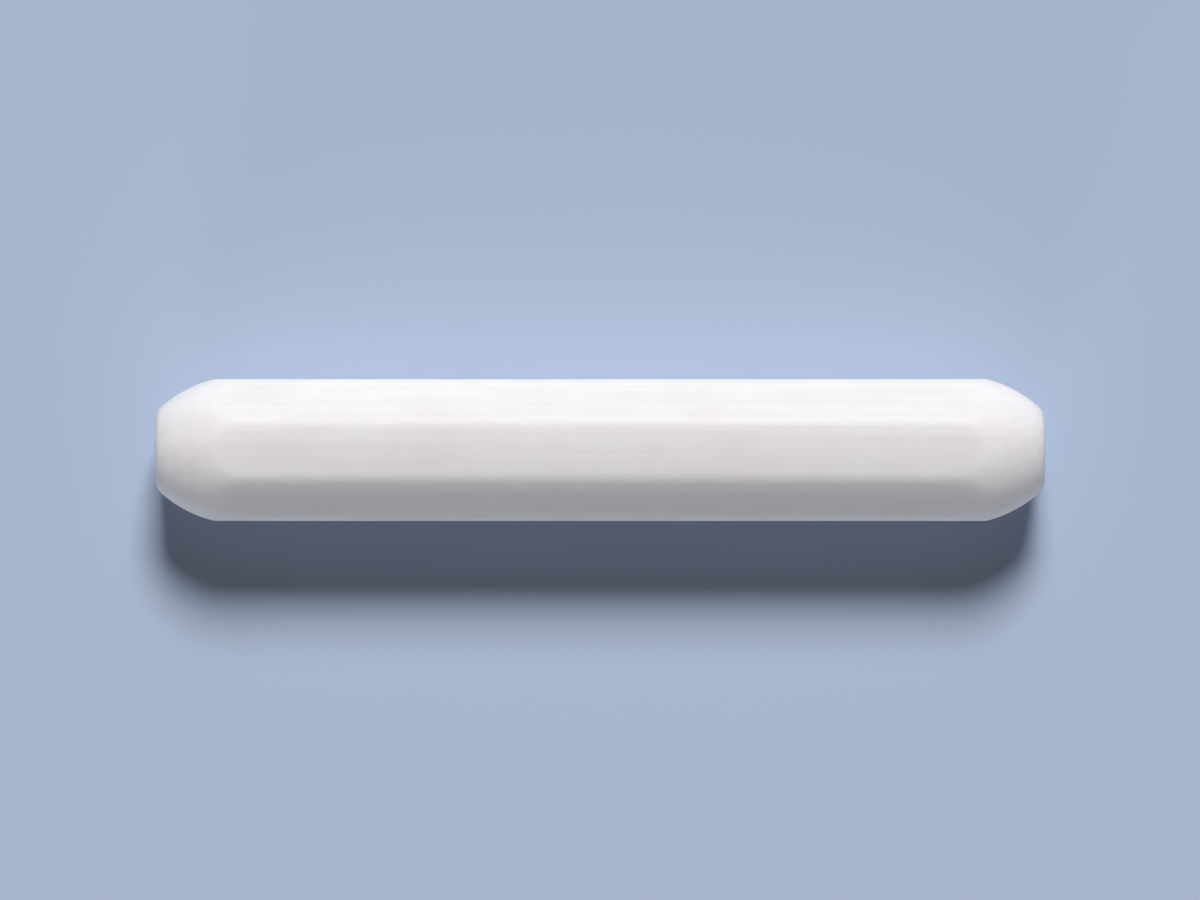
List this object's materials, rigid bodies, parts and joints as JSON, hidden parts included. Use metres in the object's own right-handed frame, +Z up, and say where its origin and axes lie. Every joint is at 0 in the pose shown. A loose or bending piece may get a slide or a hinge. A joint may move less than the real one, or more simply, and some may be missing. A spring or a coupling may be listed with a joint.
{
  "type": "magnetic stir bar",
  "caption": "Long octagonal stir bar with crowned ends: a rod magnet sealed inside a smooth white fluoropolymer jacket, lying on one flat.",
  "frame": {"origin": "middle of the flat that the bar lies on, at the centre of its length", "axes": "+X along the bar, +Y across it, +Z up from the flat that it lies on to the opposite flat"},
  "size_m": [0.05, 0.008, 0.008],
  "materials": {
    "jacket": "white moulded fluoropolymer, smooth and satin, slightly waxy",
    "magnet": "cast magnet alloy, centreless ground"
  },
  "bodies": {
    "root": {"jacket": "jacket", "magnet": "magnet"}
  },
  "joints": []
}
